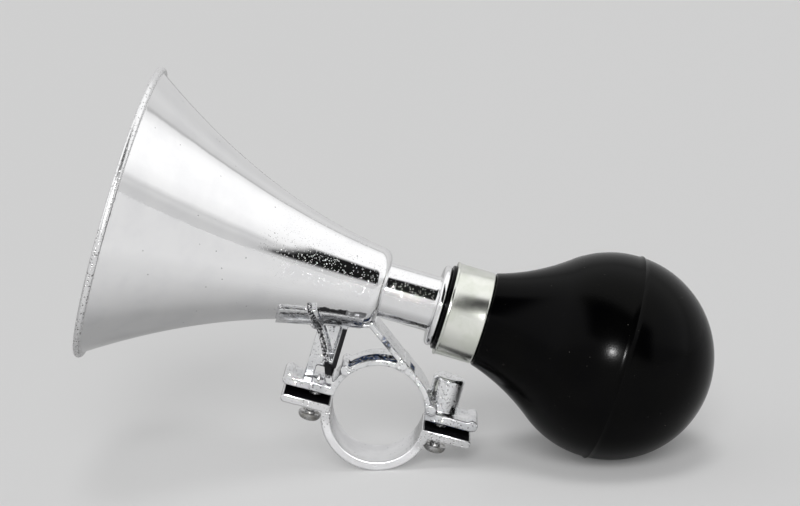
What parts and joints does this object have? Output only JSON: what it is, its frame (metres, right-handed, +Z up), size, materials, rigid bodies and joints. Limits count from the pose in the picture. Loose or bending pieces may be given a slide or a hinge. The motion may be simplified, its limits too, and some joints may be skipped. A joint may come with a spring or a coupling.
{
  "type": "bicycle bulb horn",
  "caption": "Bulb horn for a bicycle: plated flared bell on a two-part handlebar clamp, with a black rubber squeeze bulb and a brass reed.",
  "frame": {"origin": "centre of the handlebar clamp's bore, in its middle plane; the part stands as it lies on a table, on the clamp's lower half and the bulb", "axes": "+X from the bell's mouth towards the bulb, +Y along the handlebar bore, +Z up from the table"},
  "size_m": [0.1517, 0.0716, 0.0977],
  "materials": {
    "plated_bell": "bright chrome plating on moulded plastic, mirror smooth with fine pits and dust",
    "plated_bracket": "bright chrome plating on moulded plastic, grainy and pitted, worn dull on its flat sides",
    "plated_clamp": "thin plating on moulded plastic, bright on top and dull grey round the ring",
    "screw_steel": "zinc-plated steel, dulled",
    "zinc_collar": "satin zinc-plated steel",
    "black_rubber": "satin black rubber with dust specks",
    "bush_plastic": "plain off-white moulding",
    "reed_brass": "drawn brass",
    "tongue_brass": "rolled brass strip"
  },
  "bodies": {
    "horn": {"bell": "plated_bell", "clamp_bracket": "plated_bracket", "neck_tube": "plated_bell", "collar": "zinc_collar", "bulb_front": "black_rubber", "reed_bush": "bush_plastic", "reed_tube": "reed_brass", "reed_ring": "reed_brass"},
    "lower_clamp": {"clamp_lower": "plated_clamp"},
    "left_screw": {"screw_left": "screw_steel"},
    "right_screw": {"screw_right": "screw_steel"},
    "bulb_end": {"bulb_back": "black_rubber"},
    "tongue": {"reed_tongue": "tongue_brass"}
  },
  "joints": [
    {"name": "clamp_open", "type": "slide", "parent": "horn", "child": "lower_clamp", "axis": [-0.2914, 0, -0.9566], "range_m": [-0.001, 0.0016]},
    {"name": "screw_left_turn", "type": "hinge", "parent": "lower_clamp", "child": "left_screw", "pos_m": [-0.01635, 0, -0.00014], "axis": [-0.2914, 0, -0.9566], "range_deg": [-330, 530]},
    {"name": "screw_right_turn", "type": "hinge", "parent": "lower_clamp", "child": "right_screw", "pos_m": [0.0135, 0, -0.00923], "axis": [-0.2914, 0, -0.9566], "range_deg": [-330, 530]},
    {"name": "bulb_squeeze", "type": "slide", "parent": "horn", "child": "bulb_end", "axis": [-0.947, 0, 0.3213], "range_m": [0, 0.012], "stiffness_N_per_m": 1500, "deforming": ["bulb_front"]},
    {"name": "reed_beat", "type": "hinge", "parent": "horn", "child": "tongue", "pos_m": [0.02812, 0, 0.02251], "axis": [0, 1, 0], "range_deg": [-1, 2.2], "stiffness_Nm_per_rad": 0.0005}
  ],
  "couplings": [
    {"joint": "screw_left_turn", "follows": "clamp_open", "rad_per_m": 5712},
    {"joint": "screw_right_turn", "follows": "clamp_open", "rad_per_m": 5712}
  ]
}
